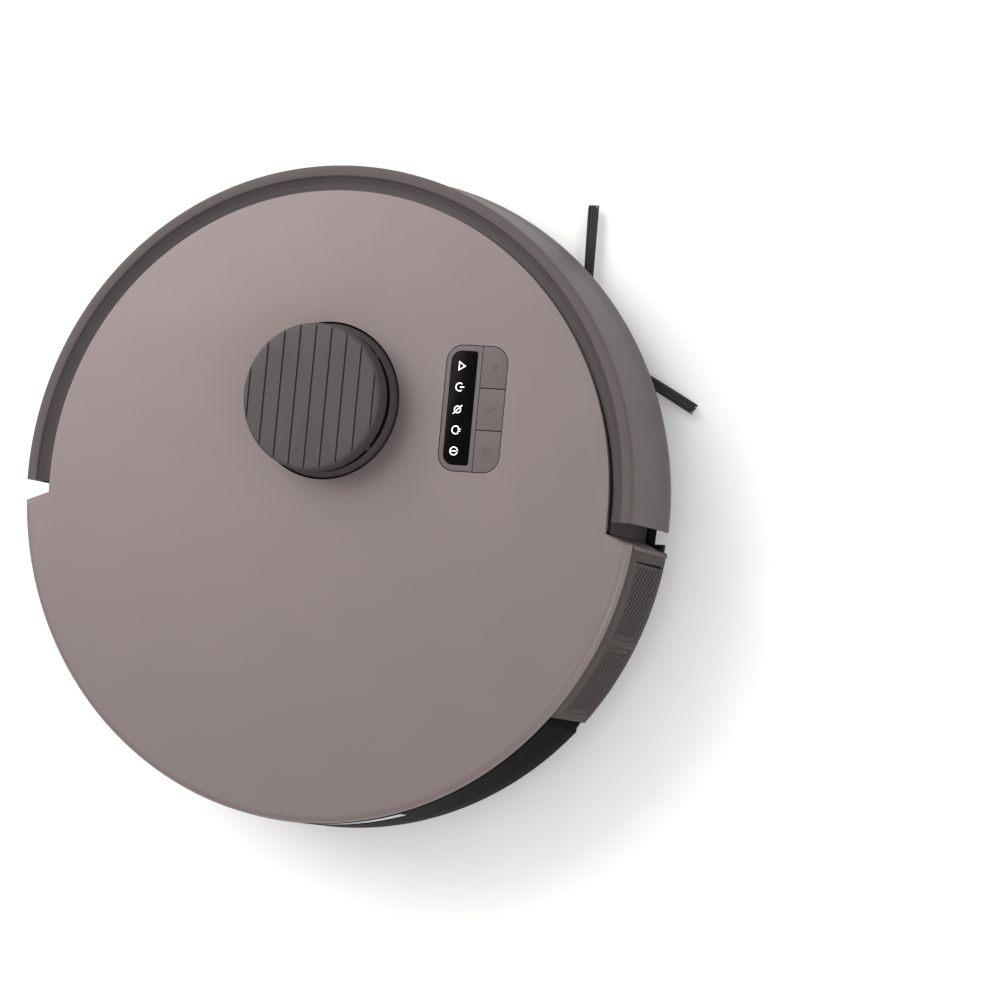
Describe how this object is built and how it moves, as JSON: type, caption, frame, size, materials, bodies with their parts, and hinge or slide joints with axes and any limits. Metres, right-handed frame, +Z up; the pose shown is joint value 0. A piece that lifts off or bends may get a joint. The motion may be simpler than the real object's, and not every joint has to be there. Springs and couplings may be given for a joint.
{
  "type": "robot vacuum",
  "caption": "Round robot vacuum with a laser turret, sprung front bumper, driving wheels on sprung arms, caster, main and side brushes and a rear pull-out dust bin.",
  "frame": {"origin": "on the floor, under the middle of the round body", "axes": "+Z up, +Y towards the bumper, the way the robot drives, +X to the robot's right"},
  "size_m": [0.3391, 0.336, 0.0996],
  "materials": {
    "cover_paint": "satin",
    "shell_plastic": "satin",
    "turret_plastic": "satin",
    "black_plastic": "satin",
    "black_gloss": "gloss",
    "grey_plastic": "matte",
    "steel": "satin",
    "silver_trim": "satin",
    "tyre_rubber": "matte",
    "brush_rubber": "matte",
    "bristle": "matte",
    "belt_rubber": "matte",
    "circuit_board": "satin",
    "battery_wrap": "satin",
    "filter_paper": "matte",
    "smoked_plastic": "gloss",
    "caster_plastic": "matte"
  },
  "bodies": {
    "chassis": {"top_cover": "cover_paint", "bottom_cover": "black_plastic", "upper_housing": "shell_plastic", "vent_grille_right": "shell_plastic", "vent_grille_left": "shell_plastic", "charging_contact_right": "silver_trim", "charging_contact_left": "silver_trim", "battery_door": "black_plastic", "battery_pack": "battery_wrap", "main_board": "circuit_board", "speaker": "black_plastic", "turret_ring": "turret_plastic", "turret_cap": "turret_plastic", "lidar_base": "black_plastic", "lidar_motor": "steel", "lidar_belt": "belt_rubber", "panel_bezel": "shell_plastic", "display_window": "black_gloss", "panel_board": "circuit_board", "brush_chamber": "black_plastic", "brush_gearbox": "grey_plastic", "brush_motor": "steel", "suction_duct": "black_plastic", "fan_housing": "black_plastic", "fan_inlet_duct": "black_plastic", "caster_socket": "black_plastic", "side_brush_motor": "grey_plastic", "bumper_switch_right": "steel", "bumper_switch_left": "steel", "suspension_spring_right": "steel", "suspension_spring_left": "steel"},
    "bumper": {"bumper": "shell_plastic", "sensor_window": "black_gloss"},
    "button_low": {"button_low": "shell_plastic"},
    "button_middle": {"button_middle": "shell_plastic"},
    "button_high": {"button_high": "shell_plastic"},
    "lidar_head": {"lidar_rotor": "black_plastic", "lidar_lens": "black_gloss"},
    "lidar_pulley": {"lidar_pulley": "black_plastic"},
    "main_brush": {"main_brush": "brush_rubber"},
    "side_brush": {"side_brush": "black_plastic", "side_brush_tufts": "bristle"},
    "fan_rotor": {"fan_impeller": "grey_plastic"},
    "arm_right": {"wheel_arm_right": "grey_plastic", "wheel_motor_right": "steel"},
    "arm_left": {"wheel_arm_left": "grey_plastic", "wheel_motor_left": "steel"},
    "wheel_right": {"wheel_hub_right": "grey_plastic", "tyre_right": "tyre_rubber"},
    "wheel_left": {"wheel_hub_left": "grey_plastic", "tyre_left": "tyre_rubber"},
    "caster_fork": {"caster_fork": "caster_plastic", "caster_axle": "steel"},
    "caster_wheel": {"caster_wheel": "tyre_rubber"},
    "dust_bin": {"dust_bin": "black_plastic", "bin_lid": "smoked_plastic", "bin_filter": "filter_paper"},
    "bin_flap": {"bin_flap": "grey_plastic"},
    "bin_release": {"bin_release": "silver_trim"},
    "brush_guard": {"brush_guard": "grey_plastic"}
  },
  "joints": [
    {"name": "bumper_press", "type": "slide", "parent": "chassis", "child": "bumper", "axis": [0, -1, 0], "range_m": [0, 0.0035], "stiffness_N_per_m": 400, "springref_m": -0.002},
    {"name": "button_low_press", "type": "slide", "parent": "chassis", "child": "button_low", "axis": [0, 0, -1], "range_m": [0, 0.0007], "stiffness_N_per_m": 900, "springref_m": -0.0006},
    {"name": "button_middle_press", "type": "slide", "parent": "chassis", "child": "button_middle", "axis": [0, 0, -1], "range_m": [0, 0.0007], "stiffness_N_per_m": 900, "springref_m": -0.0006},
    {"name": "button_high_press", "type": "slide", "parent": "chassis", "child": "button_high", "axis": [0, 0, -1], "range_m": [0, 0.0007], "stiffness_N_per_m": 900, "springref_m": -0.0006},
    {"name": "lidar_spin", "type": "hinge", "parent": "chassis", "child": "lidar_head", "pos_m": [-0.0019, 0.0455, 0.07], "axis": [0, 0, 1], "continuous": true},
    {"name": "lidar_pulley_spin", "type": "hinge", "parent": "chassis", "child": "lidar_pulley", "pos_m": [0.0221, 0.0275, 0.068], "axis": [0, 0, 1], "continuous": true},
    {"name": "main_brush_spin", "type": "hinge", "parent": "chassis", "child": "main_brush", "pos_m": [0, -0.046, 0.024], "axis": [1, 0, 0], "continuous": true},
    {"name": "side_brush_spin", "type": "hinge", "parent": "chassis", "child": "side_brush", "pos_m": [0.107, 0.0915, 0.009], "axis": [0, 0, 1], "continuous": true, "deforming": ["side_brush_tufts"]},
    {"name": "fan_spin", "type": "hinge", "parent": "chassis", "child": "fan_rotor", "pos_m": [0.112, -0.068, 0.025], "axis": [0, 0, 1], "continuous": true},
    {"name": "suspension_right", "type": "hinge", "parent": "chassis", "child": "arm_right", "pos_m": [0.096, 0.052, 0.04], "axis": [1, 0, 0], "range_deg": [0, 22], "stiffness_Nm_per_rad": 0.45, "springref_deg": 35.52},
    {"name": "suspension_left", "type": "hinge", "parent": "chassis", "child": "arm_left", "pos_m": [-0.096, 0.052, 0.04], "axis": [1, 0, 0], "range_deg": [0, 22], "stiffness_Nm_per_rad": 0.45, "springref_deg": 35.52},
    {"name": "wheel_spin_right", "type": "hinge", "parent": "arm_right", "child": "wheel_right", "pos_m": [0.1185, 0, 0.035], "axis": [1, 0, 0], "continuous": true},
    {"name": "wheel_spin_left", "type": "hinge", "parent": "arm_left", "child": "wheel_left", "pos_m": [-0.1185, 0, 0.035], "axis": [1, 0, 0], "continuous": true},
    {"name": "caster_swivel", "type": "hinge", "parent": "chassis", "child": "caster_fork", "pos_m": [0, 0.119, 0.03], "axis": [0, 0, 1], "continuous": true},
    {"name": "caster_roll", "type": "hinge", "parent": "caster_fork", "child": "caster_wheel", "pos_m": [0, 0.114, 0.015], "axis": [1, 0, 0], "continuous": true},
    {"name": "bin_slide", "type": "slide", "parent": "chassis", "child": "dust_bin", "axis": [0, -1, 0], "range_m": [0, 0.14]},
    {"name": "bin_release_press", "type": "slide", "parent": "dust_bin", "child": "bin_release", "axis": [0, 1, 0], "range_m": [0, 0.0012], "stiffness_N_per_m": 600, "springref_m": -0.001},
    {"name": "bin_flap_swing", "type": "hinge", "parent": "dust_bin", "child": "bin_flap", "pos_m": [0, -0.0888, 0.054], "axis": [-1, 0, 0], "range_deg": [0, 60]},
    {"name": "brush_guard_lift_out", "type": "slide", "parent": "chassis", "child": "brush_guard", "axis": [0, 0, -1], "range_m": [0, 0.03]}
  ],
  "couplings": [
    {"joint": "lidar_pulley_spin", "follows": "lidar_spin", "ratio": 6.8182}
  ]
}
